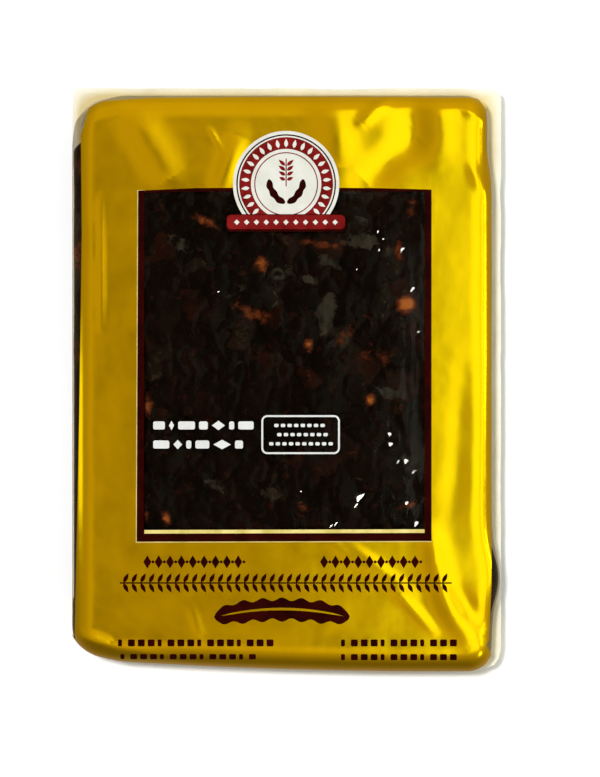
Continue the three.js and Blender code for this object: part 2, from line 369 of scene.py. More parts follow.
def noise_at(tree, place_socket, scale, detail=4.0, roughness=0.55, distortion=0.0):
    made = node(tree, "ShaderNodeTexNoise", in_2=scale, in_3=detail, in_4=roughness)
    made.inputs["Distortion"].default_value = distortion
    tree.links.new(place_socket, made.inputs["Vector"])
    return made.outputs[0]


def bump(tree, height, strength, distance, under=None):
    """Normals raised by height, on top of the normals under them."""
    made = node(tree, "ShaderNodeBump")
    made.inputs["Strength"].default_value = strength
    made.inputs["Distance"].default_value = distance
    tree.links.new(height, made.inputs["Height"])
    if under is not None:
        tree.links.new(under, made.inputs["Normal"])
    return made.outputs[0]


def carried(tree, name):
    """A value that the mesh's points carry."""
    return node(tree, "ShaderNodeAttribute", attribute_name=name).outputs["Fac"]


pulp_look, tree, surface = material("tamarind_pulp")
here = object_place(tree)
tone = ramp(
    tree,
    carried(tree, "skin"),
    [
        (0.0, (0.0013, 0.0004, 0.0003)),
        (0.35, (0.0034, 0.0007, 0.0004)),
        (0.62, (0.0022, 0.0012, 0.0007)),
        (0.8, (0.0075, 0.0014, 0.0008)),
        (1.0, (0.0042, 0.0032, 0.002)),
    ],
)
mottle = ramp(tree, noise_at(tree, here, 170.0, 6.0, 0.65), [(0.35, 0.4), (0.7, 1.7)])
tone = mix(tree, 1.0, tone, mottle, "MULTIPLY")
# Painted shade: the tone is painted darker, down to black, in the creases between skins
tone = mix(tree, ramp(tree, carried(tree, "seam"), [(0.0, 0.75), (0.12, 0.0)]), tone, (0, 0, 0))
streaks = noise_at(tree, object_place(tree, (1, 0.3, 1)), 330.0, 4.0, 0.55, 0.8)
grey_skin_and_sheen_tone = ramp(tree, streaks, [(0.35, (0.005, 0.0042, 0.0028)), (0.68, (0.03, 0.026, 0.017))])
tears = noise_at(tree, here, 420.0, 4.0, 0.6, 0.6)
# Grey skins, and the painted sheen on the left side, take the grey tone
torn_skins_and_painted_sheen = mix(tree, 1.0, carried(tree, "grey"), tears, "LINEAR_LIGHT")
tone = mix(tree, ramp(tree, torn_skins_and_painted_sheen, [(0.4, 0.0), (0.62, 0.9)]), tone, grey_skin_and_sheen_tone)
fibres = ramp(tree, streaks, [(0.66, 0.0), (0.74, 0.5)])
tone = mix(tree, fibres, tone, (0.014, 0.008, 0.0045))
# Amber bits, and the painted gold reflection on the left side, take the warm tone
flesh_and_painted_reflection = mix(tree, 0.7, carried(tree, "amber_and_painted_reflection"), tears, "LINEAR_LIGHT")
warm = ramp(
    tree,
    flesh_and_painted_reflection,
    [
        (0.05, (0.006, 0.0012, 0.0006)),
        (0.3, (0.026, 0.005, 0.0016)),
        (0.55, (0.075, 0.016, 0.004)),
        (0.9, (0.3, 0.08, 0.012)),
    ],
)
tone = mix(tree, ramp(tree, flesh_and_painted_reflection, [(0.12, 0.0), (0.42, 0.9)]), tone, warm)
tree.links.new(tone, surface.inputs["Base Color"])
moist = ramp(tree, noise_at(tree, here, 95.0, 3.0), [(0.4, 0.13), (0.6, 0.45)])
tree.links.new(moist, surface.inputs["Roughness"])
rough_skin = bump(tree, noise_at(tree, here, 700.0, 4.0, 0.55), 0.35, 0.0003)
folded = bump(tree, noise_at(tree, here, 210.0, 3.0, 0.5, 1.5), 0.5, 0.0006, rough_skin)
tree.links.new(folded, surface.inputs["Normal"])
surface.inputs["Specular IOR Level"].default_value = 0.06
pulp.data.materials.append(pulp_look)
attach(pulp, "root")
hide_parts("tamarind_block")


# Front film
# The pouch's clear front web, a thin plastic film drawn tight over the pulp. It shows in the
# window and along the edges past the print, and short sharp wrinkles in it catch the light.

# Folds that the print shows too: both ends, height and half width
FOLDS = [
    ((-43.0, 73.5), (-31.5, 55.0), 0.7, 4.8),
    ((-18.7, 51.0), (-13.0, 66.5), 0.6, 3.0),
    ((-21.0, 68.4), (-17.4, 62.5), 0.15, 0.7),
    ((12.0, 79.0), (14.5, 58.0), 0.7, 5.6),
    ((33.5, 80.0), (34.6, 62.5), -0.9, 4.4),
    ((36.0, 66.5), (21.5, 54.0), -0.8, 3.8),
    ((41.5, 80.0), (41.8, 60.5), 0.4, 4.0),
    ((31.5, 81.0), (20.5, 70.5), 0.7, 1.8),
    ((48.6, 74.0), (54.9, 70.0), 0.35, 1.3),
    ((50.8, 58.0), (54.0, 50.4), 0.5, 1.6),
    ((-50.7, 50), (-50.5, 14), 0.18, 1.1),
    ((-53.6, 43), (-53.2, 33), 0.12, 1.1),
    ((48.0, 3.0), (44.4, -43.0), -0.15, 2.6),
    ((54.6, 3.0), (51.2, -45.0), 0.25, 3.2),
    ((12, -44), (30, -58), 0.16, 1.7),
    ((17.5, -45), (34.5, -58.5), 0.22, 1.6),
    ((40.3, -43), (40.3, -50), 0.35, 2.2),
    ((30.0, -57.8), (40.0, -68.5), 0.4, 1.5),
    ((38.8, -42.0), (45.0, -64.5), 0.8, 3.1),
    ((41.8, -57.0), (51.0, -72.0), 0.8, 3.3),
    ((44.2, -55.5), (54.6, -68.5), -0.75, 2.9),
    ((-57, -70), (-48, -72.5), 0.9, 1.8),
    ((-48, -73), (-25, -77.4), 0.35, 1.3),
    ((-26, -62), (-23.5, -70), 0.14, 1.6),
]
FOLD_END = 0.04  # folds run out over this share of their length, at either end
FILM_CELLS = (180, 246, 10)
SMOOTHEST_FILM, ROUGHEST_FILM = 0.035, 0.085
SHEEN_MOST = 0.6

# The film is drawn taut over the window, which the print leaves open, and is loose round it
WINDOW_X, WINDOW_Y = -0.6, 4.5
WINDOW_HALF_WIDTH, WINDOW_HALF_LENGTH = 38.5, 46.0
TAUT_FROM, TAUT_TO = 1, -9


def fold_height(x, y, folds):
    height = np.zeros(len(x))
    for start, end, peak, width in folds:
        run = np.subtract(end, start)
        along = ((x - start[0]) * run[0] + (y - start[1]) * run[1]) / (run @ run)
        along = np.clip(along, 0, 1)
        away = np.hypot(x - start[0] - along * run[0], y - start[1] - along * run[1])
        run_out = np.sqrt(np.sin(np.pi * (FOLD_END + (1 - 2 * FOLD_END) * along)))
        height += peak * bell(away, width) * run_out
    return height


def sway(x, y, size, seed):
    """Slow wander of a sheet that hangs loose, from -1 to 1."""
    return np.array([noise.noise(Vector((a / size, b / size, seed))) for a, b in zip(x, y)])


def front_relief(x, y):
    past_x = np.abs(x - WINDOW_X) - WINDOW_HALF_WIDTH
    past_y = np.abs(y - WINDOW_Y) - WINDOW_HALF_LENGTH
    taut = smooth(TAUT_FROM, TAUT_TO, np.maximum(past_x, past_y))
    loose = 0.06 * sway(x, y, size=8.0, seed=3.0) + 0.015 * sway(x, y, size=3.2, seed=8.0)
    return crown(x, y) + (1 - taut) * (fold_height(x, y, FOLDS) + loose)


def half_of(cells, out, relief, upper):
    """One web of the pouch, from the parting outwards."""
    near, facing, quads, level = brick(cells)
    kept = (level[quads] >= 0).all(axis=1) if upper else (level[quads] <= 0).all(axis=1)
    used, faces = np.unique(quads[kept], return_inverse=True)
    return place(near[used], facing[used], out, relief), faces.reshape(-1, 4)


def crinkle_group():
    """Normals of thin film: a fine crinkle, and waves that run up and down the pack."""
    group = bpy.data.node_groups.new("film_crinkle", "ShaderNodeTree")
    for name in ("Fine", "Waves"):
        group.interface.new_socket(name, in_out="INPUT", socket_type="NodeSocketFloat")
    group.interface.new_socket("Normal", in_out="OUTPUT", socket_type="NodeSocketVector")
    given, made = node(group, "NodeGroupInput"), node(group, "NodeGroupOutput")
    fine = bump(group, noise_at(group, object_place(group), 450.0, 1.0), 0.1, 0.0002)
    waves = noise_at(group, object_place(group, (1, 0.4, 1)), 75.0, 3.0)
    normal = bump(group, waves, 0.1, 0.0008, fine)
    group.links.new(given.outputs["Fine"], fine.node.inputs["Strength"])
    group.links.new(given.outputs["Waves"], normal.node.inputs["Strength"])
    group.links.new(normal, made.inputs["Normal"])
    return group


def placed(tree, group, **values):
    """A node group in a material, with this material's own values."""
    made = node(tree, "ShaderNodeGroup", node_tree=group)
    for name, value in values.items():
        made.inputs[name].default_value = (*value, 1) if isinstance(value, tuple) else value
    return made


film_crinkle = crinkle_group()


def clear_film(name, tint, sheen_ior):
    """Clear film: see-through, with a mirror sheen that grows towards grazing angles."""
    made, tree, surface = material(name)
    surface.inputs["Metallic"].default_value = 1.0
    surface.inputs["Base Color"].default_value = (1, 1, 1, 1)
    here = object_place(tree)
    scuffs = noise_at(tree, here, 120.0, 4.0)
    slip = ramp(tree, scuffs, [(0.3, SMOOTHEST_FILM), (0.7, ROUGHEST_FILM)])
    tree.links.new(slip, surface.inputs["Roughness"])
    crinkle = placed(tree, film_crinkle, Fine=0.08, Waves=0.3)
    tree.links.new(crinkle.outputs["Normal"], surface.inputs["Normal"])
    through = node(tree, "ShaderNodeBsdfTransparent", in_0=(*tint, 1))
    sheen = node(tree, "ShaderNodeFresnel", in_0=sheen_ior)
    capped = node(tree, "ShaderNodeMath", operation="MINIMUM", in_1=SHEEN_MOST)
    tree.links.new(sheen.outputs[0], capped.inputs[0])
    both = node(tree, "ShaderNodeMixShader")
    tree.links.new(capped.outputs[0], both.inputs[0])
    tree.links.new(through.outputs[0], both.inputs[1])
    tree.links.new(surface.outputs[0], both.inputs[2])
    tree.links.new(both.outputs[0], tree.nodes["Material Output"].inputs[0])
    return made


film_points, film_faces = half_of(FILM_CELLS, 0.0, front_relief, True)
front_film = mesh_object("front_film_web", film_points, film_faces)
film_look = clear_film("clear_film", tint=(0.985, 0.98, 0.96), sheen_ior=1.25)
front_film.data.materials.append(film_look)
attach(front_film, "root")
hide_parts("front_film")

# Sharp wrinkles of the film over the window. Each is a small facet that mirrors a lamp to the
# eye, and falls back to the film past its crest: the middle of its low edge, that edge's
# length, the width of its slope, and how far its crest leans aside
GLINTS = [
    (28.3, -15.1, 1.1, 0.8, 0.1),
    (28.6, -17.8, 1.3, 0.9, 0.0),
    (30.4, -22.4, 1.2, 0.3, 0.3),
    (32.7, -22.5, 1.5, 1.0, 0.3),
    (34.6, -25.2, 1.6, 0.3, 0.1),
    (20.4, -32.2, 3.2, 1.1, -0.4),
    (19.0, -34.4, 2.0, 0.35, 0.0),
    (32.9, -33.7, 1.2, 0.6, 0.0),
    (12.2, -39.9, 1.2, 0.3, 0.0),
    (13.5, -39.4, 1.6, 0.3, 0.2),
    (35.4, -39.6, 1.8, 0.8, 0.5),
    (31.6, 35.3, 1.6, 0.6, 0.3),
    (34.3, 24.4, 1.8, 0.5, 0.4),
    (25.0, 40.3, 0.7, 0.4, 0.0),
    (26.4, 38.4, 0.6, 0.3, 0.0),
    (25.3, 35.3, 0.8, 0.3, 0.2),
    (19.2, 30.1, 0.6, 0.3, 0.0),
    (36.0, 13.0, 0.9, 0.3, 0.0),
    (-18.5, 24.0, 0.6, 0.3, 0.0),
    (4.0, -30.5, 0.7, 0.3, 0.0),
]
GLINT_CLEAR = 0.03
GLINT_LAMP = np.array([420.0, -352.0, 244.0])
EYE = np.array([3.6, -2.3, 2360.0])
LOW_EDGE, CREST, FAR_EDGE = 0.5, 0.15, 0.3  # half lengths, as shares of the low edge's length
FAR_SIDE = 1.6  # the far side's foot lies this many slopes away

glint_xy, glint_rise, glint_faces = [], [], []
for x, y, length, width, lean in GLINTS:
    ways = [there - (x, y, 2 * HALF[2]) for there in (GLINT_LAMP, EYE)]
    facet = sum(way / np.linalg.norm(way) for way in ways)
    slope = np.hypot(facet[0], facet[1]) / facet[2]
    down = facet[:2] / np.hypot(facet[0], facet[1])
    aside = np.array([-down[1], down[0]])
    first = len(glint_xy)
    rims = ((0, LOW_EDGE, 0), (-width, CREST, slope * width), (-FAR_SIDE * width, FAR_EDGE, 0))
    for away, half, rise in rims:
        for side in (-1, 1):
            step = aside * (side * half * length + lean * (away != 0))
            glint_xy.append(np.array([x, y]) + down * away + step)
            glint_rise.append(rise)
    for low in (first, first + 2):
        glint_faces.append([low, low + 1, low + 3, low + 2])
glint_xy = np.array(glint_xy)
glint_z = 2 * HALF[2] + front_relief(*glint_xy.T) + np.array(glint_rise) + GLINT_CLEAR
glints = mesh_object("film_wrinkles", np.column_stack([glint_xy, glint_z]), np.array(glint_faces))
glints.data.polygons.foreach_set("use_smooth", np.zeros(len(glint_faces), dtype=bool))
# Film that is folded over shines more, since all of its layers mirror the light
folded_look = clear_film("folded_film", tint=(0.97, 0.96, 0.93), sheen_ior=1.9)
glints.data.materials.append(folded_look)
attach(glints, "root")


# Back film and its seals
# The clear back web, under the block. Past the head and the right side it lies flat and is
# welded to the front web, as a narrow, slightly wavy strip that the sealing bars have crimped.

BACK_CELLS = (70, 96, 8)
SEAL_HEIGHT = 9.25
# Outer and inner edge of the seal strip, from the head's left corner to the foot's right one
SEAL_PATH = [
    ((-58.75, 58.0), (-56.0, 58.0)),
    ((-58.75, 77.0), (-56.4, 70.0)),
    ((-58.5, 78.9), (-55.2, 73.4)),
    ((-57.5, 79.8), (-52.6, 75.6)),
    ((-55.8, 80.0), (-49.0, 76.6)),
    ((55.6, 80.0), (48.0, 76.6)),
    ((57.6, 79.7), (52.0, 75.6)),
    ((58.5, 78.7), (53.8, 73.4)),
    ((58.75, 77.0), (54.6, 70.0)),
    ((58.75, -74.0), (54.8, -69.0)),
    ((58.2, -76.6), (54.0, -72.6)),
    ((56.8, -78.3), (52.0, -74.8)),
    ((54.2, -79.0), (48.0, -75.6)),
]
SEAL_STEPS_ACROSS = 8
SEAL_STEP = 0.4
CRIMP_HEIGHT, CRIMP_PITCH = 0.03, 2.0
DRIFT, FLUTTER = 0.8, 0.35
NICK_DEPTH = 0.5
NICKED_FROM = np.array([54.0, 75.0])  # the strip's outer edge is nicked, past this x or y

back_points, back_faces = half_of(BACK_CELLS, 0.0, crown, False)
back_film = mesh_object("back_film_web", back_points, back_faces)
back_film.data.materials.append(film_look)
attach(back_film, "root")
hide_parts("back_film")

# Rows of points across the strip, each from its outer edge to its inner one
rows = []
for start, end in zip(SEAL_PATH, SEAL_PATH[1:]):
    steps = np.arange(0, 1, SEAL_STEP / np.hypot(*np.subtract(end[0], start[0])))
    rows += [np.ravel(start) * (1 - part) + np.ravel(end) * part for part in steps]
rows = np.array(rows)
shares = np.linspace(0, 1, SEAL_STEPS_ACROSS + 1)
seal_xy = rows[:, None, :2] * (1 - shares[:, None]) + rows[:, None, 2:] * shares[:, None]
seal_xy = seal_xy.reshape(-1, 2)
travel = np.repeat(np.arange(len(rows)) * SEAL_STEP, len(shares))
edgeward = np.tile(1 - shares, len(rows))
# Painted light: how far the strip's painted gold glow has faded, most at its outer edge, with the
# sides painted paler than the head
painted_glow_fade = edgeward * (0.7 + 0.3 * smooth(48, 55, np.abs(seal_xy[:, 0])))
wave = CRIMP_HEIGHT * np.sin(travel * 2 * np.pi / CRIMP_PITCH)
wave += DRIFT * sway(*seal_xy.T, size=14.0, seed=21.0)
wave += FLUTTER * sway(*seal_xy.T, size=5.0, seed=27.0)
seal_z = SEAL_HEIGHT + edgeward * wave
nick = np.maximum(0, sway(*seal_xy.T, size=11.0, seed=33.0)) * NICK_DEPTH * edgeward**2
seal_xy -= nick[:, None] * np.sign(seal_xy) * (np.abs(seal_xy) > NICKED_FROM)
row_size = len(shares)
first = np.arange(len(rows) - 1)[:, None] * row_size + np.arange(SEAL_STEPS_ACROSS)[None, :]
first = first.ravel()
seal_faces = np.stack([first, first + 1, first + row_size + 1, first + row_size], axis=1)
seal = mesh_object("seal_strip", np.column_stack([seal_xy, seal_z]), seal_faces)
seal.data.attributes.new("painted_glow_fade", "FLOAT", "POINT").data.foreach_set("value", painted_glow_fade)

seal_look, tree, surface = material("sealed_film")
here = object_place(tree)
haze = ramp(
    tree,
    noise_at(tree, here, 60.0, 3.0),
    [(0.35, (0.81, 0.78, 0.67)), (0.65, (0.91, 0.89, 0.82))],
)
# Painted light: next to the gold the strip is painted yellow, as the gold's reflected glow,
# fading to its outer edge, and it is painted paler along the pack's sides than over its head
painted_gold_glow = ramp(
    tree,
    carried(tree, "painted_glow_fade"),
    [(0.3, (0.86, 0.7, 0.34)), (0.7, (0.95, 0.9, 0.76)), (1.0, (0.99, 0.97, 0.93))],
)
tree.links.new(mix(tree, 1.0, haze, painted_gold_glow, "MULTIPLY"), surface.inputs["Base Color"])
surface.inputs["Roughness"].default_value = 0.22
crinkle = placed(tree, film_crinkle, Fine=0.1, Waves=0.2)
tree.links.new(crinkle.outputs["Normal"], surface.inputs["Normal"])
through = node(tree, "ShaderNodeBsdfTransparent", in_0=(0.95, 0.93, 0.85, 1))
both = node(tree, "ShaderNodeMixShader", in_0=0.8)
tree.links.new(through.outputs[0], both.inputs[1])
tree.links.new(surface.outputs[0], both.inputs[2])
tree.links.new(both.outputs[0], tree.nodes["Material Output"].inputs[0])
seal.data.materials.append(seal_look)
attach(seal, "root")


# Printed layer
# Gold, maroon, red, cream and white inks on the front of the film. They leave a window over the
# pulp, run out along the pack's sides, and go round its foot to the back, where they end.

PRINT_OUT = 0.45
PRINT_CELL = 0.8
KEPT_OFF = 0.35  # how far the cells' points stay from outlines, as a share of a cell
OUTLINE_STEP = 1.1
CLEAR, GOLD, MAROON, CREAM, RED, WHITE, PALE, DULL = range(8)
FOLDED_END = -63.0
FOLDED_LEFT, FOLDED_RIGHT = -58.09, 57.07


def unrolled(points):
    """Distances over the skin, across and along, of points given in plan."""
    target = np.array(points, dtype=float)
    # The true brick's point that settles here is found in a few steps
    plan = target.copy()
    for _ in range(6):
        plan += target - np.stack(settle(plan[:, 0], plan[:, 1]), axis=1)
    plan -= MIDDLE
    near = np.clip(plan, -CORE, CORE)
    past = (plan - near) / (EDGE_ROUND + PRINT_OUT)
    reach = np.hypot(past[:, 0], past[:, 1])
    tilts = np.linspace(0, 0.48 * np.pi, 200)
    swept = np.stack([np.sin(tilts), 0 * tilts, np.cos(tilts)], axis=1)
    tilt = np.interp(reach, np.sin(tilts) * fullness(swept), tilts)
    past *= (np.sin(tilt) / np.maximum(reach, 1e-9))[:, None]
    across = np.arcsin(past[:, 0])
    along = np.arctan2(past[:, 1], np.cos(tilt))
    return near + EDGE_ROUND * np.stack([across, along], axis=1)


def rolled(skin, out):
    """Points out millimetres off the clear film, from distances over the skin."""
    near = np.clip(skin, -CORE, CORE)
    turn = (skin - near) / EDGE_ROUND
    near[:, 1] -= EDGE_ROUND * np.minimum(turn[:, 1] + np.pi, 0)
    along = np.maximum(turn[:, 1], -np.pi)
    facing = np.stack(
        [
            np.sin(turn[:, 0]),
            np.cos(turn[:, 0]) * np.sin(along),
            np.cos(turn[:, 0]) * np.cos(along),
        ],
        axis=1,
    )
    return place(np.column_stack([near, np.zeros(len(near))]), facing, out, front_relief)


def dense(points, closed=True):
    """The same outline with no step longer than OUTLINE_STEP."""
    ends = points[1:] + points[:1] if closed else points[1:]
    made = []
    for start, end in zip(points, ends):
        steps = max(1, int(np.ceil(np.hypot(*np.subtract(end, start)) / OUTLINE_STEP)))
        made += [tuple(np.add(start, np.subtract(end, start) * i / steps)) for i in range(steps)]
    return made


def box(left, low, right, high):
    return [(left, low), (right, low), (right, high), (left, high)]


def round_box(left, low, right, high, radius):
    made = []
    for x, y, turn in (
        (right - radius, high - radius, 0),
        (left + radius, high - radius, 90),
        (left + radius, low + radius, 180),
        (right - radius, low + radius, 270),
    ):
        for angle in np.radians(turn + np.arange(0, 91, 18)):
            made.append((x + radius * np.cos(angle), y + radius * np.sin(angle)))
    return made


def disc(x, y, radius, steps):
    angles = np.arange(steps) * 2 * np.pi / steps
    return [(x + radius * np.cos(a), y + radius * np.sin(a)) for a in angles]


def turned(points, x, y, angle):
    cos, sin = np.cos(np.radians(angle)), np.sin(np.radians(angle))
    return [(x + cos * a - sin * b, y + sin * a + cos * b) for a, b in points]


def lozenge(x, y, width, height):
    return [(x - width / 2, y), (x, y - height / 2), (x + width / 2, y), (x, y + height / 2)]


def leaflet(x, y, length, width, angle):
    along = np.linspace(0, 1, 6)
    side = width / 2 * np.sin(np.pi * along**0.8)
    low = [(length * a, -b) for a, b in zip(along, side)]
    high = [(length * a, b) for a, b in zip(along[::-1], side[::-1])][1:-1]
    return turned(low + high, x, y, angle)


def pod(x, y, length, width, bend, lumps, angle):
    """A bean pod: a bent bar with rounded ends and a waist between each two seeds."""
    along = np.linspace(-1, 1, 12 * lumps + 1)
    end = np.sqrt(np.maximum(0, 1 - np.abs(along) ** 6))
    half = width / 2 * end * (0.86 + 0.14 * np.cos(np.pi * (along + 1) * lumps + np.pi))
    spine = np.column_stack([length / 2 * along, bend * (1 - along**2)])
    aside = np.column_stack([0 * half, half])
    low, high = (spine - aside).tolist(), (spine + aside)[::-1].tolist()
    return turned(low + high[1:-1], x, y, angle)


# Each ink shape, lowest first: its ink, and its outline in plan
inks = []

# The gold's edge, up its left side and over the head, and then down its right side
gold_left = [(-57.9, -71), (-56.6, -10), (-55.9, 40)]
gold_head = [(-56.1, 62), (-56.2, 66.6), (-54, 74.4), (-50.4, 76.1), (-37, 77), (0, 77.4)]
gold_head += [(30, 77.3), (50.8, 77.1), (54.5, 76.3)]
gold_right = [(54.6, 63), (55.9, 54), (55.9, -56), (55.2, -71), (54.2, -73)]

# The maroon frame of the window, its pale surround, the opening, and the line at its foot
arch = [(39.5, 51.9), (25, 52.3), (0, 52.5), (-25, 52.3), (-40.5, 51.6)]
inks.append((DULL, [(-41.15, -44.4), (39.5, -44.15), (39.5, 50), (-40.75, 51.75)]))
inks.append((MAROON, [(-40.9, -44.1), (39.5, -43.9), *arch]))
inks.append((CLEAR, [(-39.0, -40.8), (37.6, -40.7), (37.7, 51.3), (0, 51.8), (-38.8, 51.0)]))
inks.append((PALE, [(-38.8, -41.9), (37.6, -41.7), (37.6, -40.7), (-38.8, -40.9)]))

# A round badge over the window's head edge: a red band of seed shapes round a small sprig. A
# straight red bar with a row of lozenges crosses its lower part, and the badge ends there.
BADGE_X, BADGE_Y = -0.15, 53.4
BAR = (-16.6, 40.4, 16.2, 45.2)
CUT_BEHIND = 0.6  # the badge is cut off behind the bar, this far over the bar's low edge
SEED_RING, SEED_LENGTH, SEED_WIDTH = 11.2, 2.3, 1.05
SEED_TURN = 12  # degrees from each seed to the next
BAR_LOZENGES, BAR_LOZENGE_Y, BAR_LOZENGE = 11, 43.0, 1.5
# Discs of the badge, each over the one before: ink, radius, and steps round it
OUTER_DISCS = [(CREAM, 14.5, 88), (MAROON, 13.6, 88), (CREAM, 13.2, 88), (RED, 12.8, 88)]
INNER_DISCS = [(CREAM, 9.6, 64), (RED, 8.7, 60), (CREAM, 8.4, 58)]


def badge_disc(radius, steps):
    cut = BAR[1] + CUT_BEHIND
    return [(x, max(y, cut)) for x, y in disc(BADGE_X, BADGE_Y, radius, steps)]


inks += [(ink, badge_disc(radius, steps)) for ink, radius, steps in OUTER_DISCS]
for angle in range(SEED_TURN // 2, 360, SEED_TURN):
    x = BADGE_X + SEED_RING * np.cos(np.radians(angle))
    y = BADGE_Y + SEED_RING * np.sin(np.radians(angle))
    if y > BAR[3]:
        seed = leaflet(-SEED_LENGTH / 2, 0, SEED_LENGTH, SEED_WIDTH, 0)
        inks.append((CREAM, turned(seed, x, y, angle)))
inks += [(ink, badge_disc(radius, steps)) for ink, radius, steps in INNER_DISCS]
for side in (-1, 1):
    x, y = BADGE_X + side * 2.6, BADGE_Y - 2.0
    hanging = pod(x, y, length=8, width=2.1, bend=-side, lumps=3, angle=90 - side * 34)
    inks.append((MAROON, hanging))
    for row in range(4):
        x, y = BADGE_X + side * 0.2, BADGE_Y + 5.0 - 1.3 * row
        leaf = leaflet(x, y, 2.5 - 0.2 * row, 1.0, 90 - side * (48 + 6 * row))
        inks.append((RED, leaf))
inks.append((RED, box(BADGE_X - 0.16, BADGE_Y - 0.6, BADGE_X + 0.16, BADGE_Y + 7)))
inks.append((MAROON, round_box(*BAR, 1.4)))
inks.append((RED, round_box(BAR[0] + 0.3, BAR[1] + 0.7, BAR[2] - 0.3, BAR[3] - 0.2, 1.2)))
for x in np.linspace(BAR[0] + 3, BAR[2] - 3, BAR_LOZENGES):
    inks.append((CREAM, lozenge(x, BAR_LOZENGE_Y, BAR_LOZENGE, BAR_LOZENGE)))

# White marks in the window: two rows of bars, where each third one is a lozenge
MARK_ROWS = [
    (-12.4, (3.2, 1.4, 4.6, 2.4, 3.6, 1.4, 4.2)),
    (-17.6, (4.4, 2.4, 1.4, 3.8, 4.8, 2.2)),
]
MARKS_LEFT, MARK_HALF, MARK_GAP = -36.4, 1.1, 1.1
for y, widths in MARK_ROWS:
    x = MARKS_LEFT
    for number, width in enumerate(widths):
        if number % 3 == 1:
            inks.append((WHITE, lozenge(x + width / 2, y, width, 2.6)))
        else:
            inks.append((WHITE, round_box(x, y - MARK_HALF, x + width, y + MARK_HALF, 0.5)))
        x += width + MARK_GAP

# Beside them, a panel that a white line frames, with three rows of small dashes
PANEL = (-6.9, -20.2, 14.5, -9.6)
PANEL_LINE = 0.5
DASH_ROWS = [(-12.4, -3.4, 11.0), (-14.9, -2.6, 10.2), (-17.4, -4.8, 12.4)]
DASH_STEP, DASH_LENGTH, DASH_HALF = 1.8, 1.2, 0.45
inks.append((WHITE, round_box(*PANEL, 1.6)))
left, low, right, high = PANEL
opening = (left + PANEL_LINE, low + PANEL_LINE, right - PANEL_LINE, high - PANEL_LINE)
inks.append((CLEAR, round_box(*opening, 1.1)))
for y, first, last in DASH_ROWS:
    for x in np.arange(first, last, DASH_STEP):
        inks.append((WHITE, round_box(x, y - DASH_HALF, x + DASH_LENGTH, y + DASH_HALF, 0.3)))

# Bands of small ornament under the window: lozenges and dots, a stem of leaflets, a long pod
LOZENGE_Y, LOZENGE_STEP = -49.6, 3.1
STEM_Y, LEAFLET_STEP = -55.35, 2.35
for first, last in ((-39.2, -11.2), (9.0, 37.8)):
    for x in np.arange(first + 1.2, last, LOZENGE_STEP):
        inks.append((MAROON, lozenge(x, LOZENGE_Y, 2.2, 3.6)))
        inks.append((MAROON, disc(x + LOZENGE_STEP / 2, LOZENGE_Y, 0.42, 8)))
inks.append((MAROON, box(-45.5, STEM_Y - 0.2, 45.0, STEM_Y + 0.2)))
for x in np.arange(-44.5, 44.0, LEAFLET_STEP):
    for side in (-1, 1):
        inks.append((MAROON, leaflet(x, STEM_Y + side * 0.1, 2.9, 1.15, side * 62)))
inks.append((MAROON, pod(-1.3, -64.6, length=37, width=6.6, bend=2.0, lumps=7, angle=0)))
inks.append((GOLD, pod(-1.3, -64.35, length=33.5, width=0.7, bend=1.9, lumps=1, angle=0)))

# Rows of small bars near the foot: from, to, place along the pack, and the bars' own height
BAR_ROWS = [
    (-46.0, -3.4, -71.7, 1.9),
    (14.8, 45.6, -71.7, 1.9),
    (-45.4, -7.8, -75.5, 1.5),
    (14.8, 45.2, -75.6, 1.7),
]
BAR_STEP, BAR_WIDTH, SHORT_BAR_WIDTH = 2.7, 1.9, 1.1
for first, last, y, tall in BAR_ROWS:
    for number, x in enumerate(np.arange(first, last, BAR_STEP)):
        width = BAR_WIDTH if number % 4 else SHORT_BAR_WIDTH
        inks.append((MAROON, round_box(x, y - tall / 2, x + width, y + tall / 2, 0.35)))

# The gold sheet over the skin, with its end that is folded under the foot
last = -CORE[1] - EDGE_ROUND * np.pi - (FOLDED_END - MIDDLE[1] + CORE[1])
folded = [(FOLDED_RIGHT, -75.5), (FOLDED_RIGHT, last), (FOLDED_LEFT, last), (FOLDED_LEFT, -74.0)]
gold_skin = unrolled(dense(gold_head + gold_right, closed=False)).tolist()
gold_skin += dense(folded, closed=False)
gold_skin += unrolled(dense(gold_left + gold_head[:1], closed=False)).tolist()
outlines = [(GOLD, np.array(gold_skin))]
outlines += [(ink, unrolled(dense(shape))) for ink, shape in inks]

# One sheet of triangles whose edges follow every outline
verts, edges = [], []
for _, outline in outlines:
    start = len(verts)
    verts += [Vector(point) for point in outline]
    edges += [(start + i, start + (i + 1) % len(outline)) for i in range(len(outline))]
lines = kdtree.KDTree(len(verts))
for number, vert in enumerate(verts):
    lines.insert((*vert, 0), number)
lines.balance()
low, high = outlines[0][1].min(axis=0), outlines[0][1].max(axis=0)
for x in np.arange(low[0] + PRINT_CELL / 2, high[0], PRINT_CELL):
    for y in np.arange(low[1] + PRINT_CELL / 2, high[1], PRINT_CELL):
        if lines.find((x, y, 0))[2] > KEPT_OFF * PRINT_CELL:
            verts.append(Vector((x, y)))
cut_verts, _, cut_faces, *_ = geometry.delaunay_2d_cdt(verts, edges, [], 0, 1e-5)
skin_points = np.array(cut_verts)
triangles = np.array(cut_faces)


def inside(points, outline):
    """Which points lie in an outline."""
    found = np.zeros(len(points), dtype=bool)
    low, high = outline.min(axis=0), outline.max(axis=0)
    near_it = np.flatnonzero(((points >= low) & (points <= high)).all(axis=1))
    x, y = points[near_it].T
    odd = np.zeros(len(near_it), dtype=bool)
    for (x0, y0), (x1, y1) in zip(outline, np.roll(outline, -1, axis=0)):
        if y0 != y1:
            odd ^= ((y0 > y) != (y1 > y)) & (x < (x1 - x0) * (y - y0) / (y1 - y0) + x0)
    found[near_it] = odd
    return found


